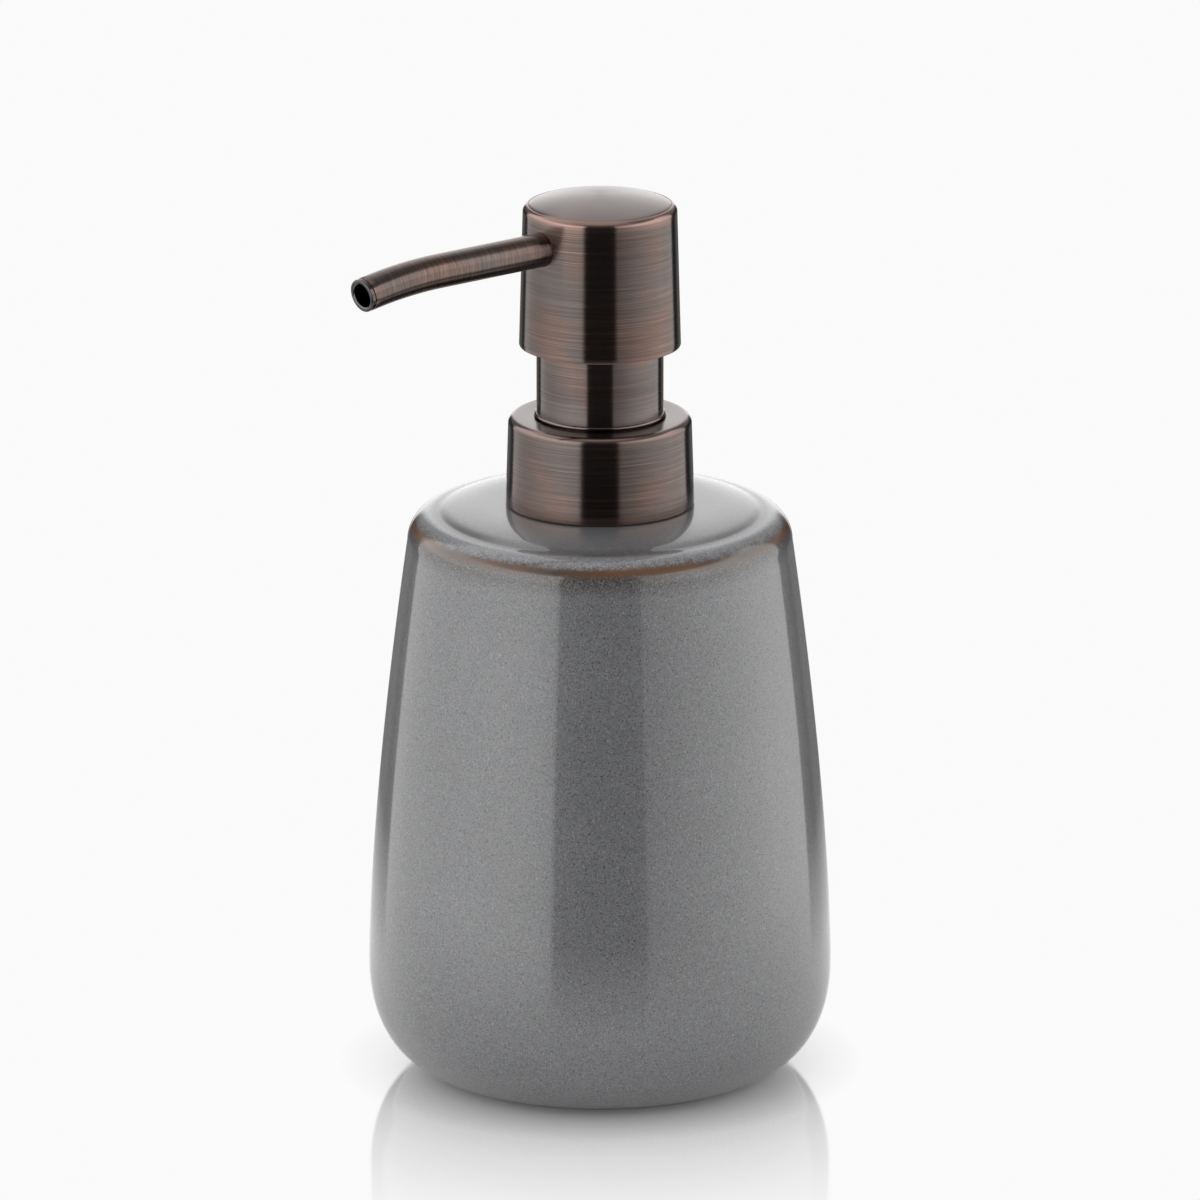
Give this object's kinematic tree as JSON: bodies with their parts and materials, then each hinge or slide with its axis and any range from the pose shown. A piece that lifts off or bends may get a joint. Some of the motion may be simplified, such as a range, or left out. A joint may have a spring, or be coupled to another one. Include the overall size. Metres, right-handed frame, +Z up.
{
  "type": "soap pump dispenser",
  "caption": "Upright glazed ceramic bottle with a rounded base and raised shoulder rim, closed by a screw-on metal lotion pump whose head presses down, swivels and carries a long bent spout.",
  "frame": {"origin": "centre of the ring that the bottle stands on, on the pump's axis", "axes": "+Z up along the pump's axis, the spout points along -Y"},
  "size_m": [0.0804, 0.0938, 0.1563],
  "materials": {
    "glaze": "glossy reactive grey glaze, brown where it breaks over the shoulder",
    "bronze_brushed": "antique bronze plating, fine brushed lines, clear lacquer",
    "neck_plastic": "moulded polypropylene",
    "cap_plastic": "dark moulded polypropylene",
    "pump_plastic": "natural moulded polypropylene",
    "seal_plastic": "soft polyethylene",
    "gasket_rubber": "foamed sealing washer",
    "spring_steel": "drawn spring wire",
    "ball_glass": "ground valve ball",
    "tube_plastic": "extruded polyethylene tube",
    "nozzle_metal": "polished dark metal ring"
  },
  "bodies": {
    "bottle": {"bottle": "glaze", "neck_insert": "neck_plastic"},
    "pump": {"pump_cylinder": "pump_plastic", "gasket": "gasket_rubber", "ball_cage": "pump_plastic", "dip_tube": "tube_plastic", "return_spring": "spring_steel", "lock_ring": "cap_plastic", "neck_sleeve": "bronze_brushed"},
    "closure": {"closure_cap": "cap_plastic", "collar_shell": "bronze_brushed"},
    "piston": {"piston_seal": "seal_plastic"},
    "head": {"piston_stem": "pump_plastic", "stem_plug": "pump_plastic", "actuator_core": "cap_plastic", "head_shell": "bronze_brushed", "spout_tube": "bronze_brushed", "spout_liner": "cap_plastic", "spout_nozzle": "nozzle_metal"},
    "inlet_valve": {"inlet_ball": "ball_glass"},
    "outlet_valve": {"outlet_ball": "ball_glass"}
  },
  "joints": [
    {"name": "pump_rise", "type": "slide", "parent": "bottle", "child": "pump", "axis": [0, 0, 1], "range_m": [0, 0.00423]},
    {"name": "closure_turn", "type": "hinge", "parent": "pump", "child": "closure", "pos_m": [0, 0, 0.11], "axis": [0, 0, 1], "range_deg": [0, 360]},
    {"name": "head_press", "type": "slide", "parent": "pump", "child": "piston", "axis": [0, 0, -1], "range_m": [0, 0.012], "stiffness_N_per_m": 400, "springref_m": -0.012, "deforming": ["return_spring"]},
    {"name": "head_swivel", "type": "hinge", "parent": "piston", "child": "head", "pos_m": [0, 0, 0.15], "axis": [0, 0, 1], "continuous": true},
    {"name": "inlet_ball_lift", "type": "slide", "parent": "pump", "child": "inlet_valve", "axis": [0, 0, 1], "range_m": [0, 0.0012]},
    {"name": "outlet_ball_lift", "type": "slide", "parent": "head", "child": "outlet_valve", "axis": [0, 0, 1], "range_m": [0, 0.0012]}
  ],
  "couplings": [
    {"joint": "pump_rise", "follows": "closure_turn", "m_per_rad": 0.0006737}
  ]
}
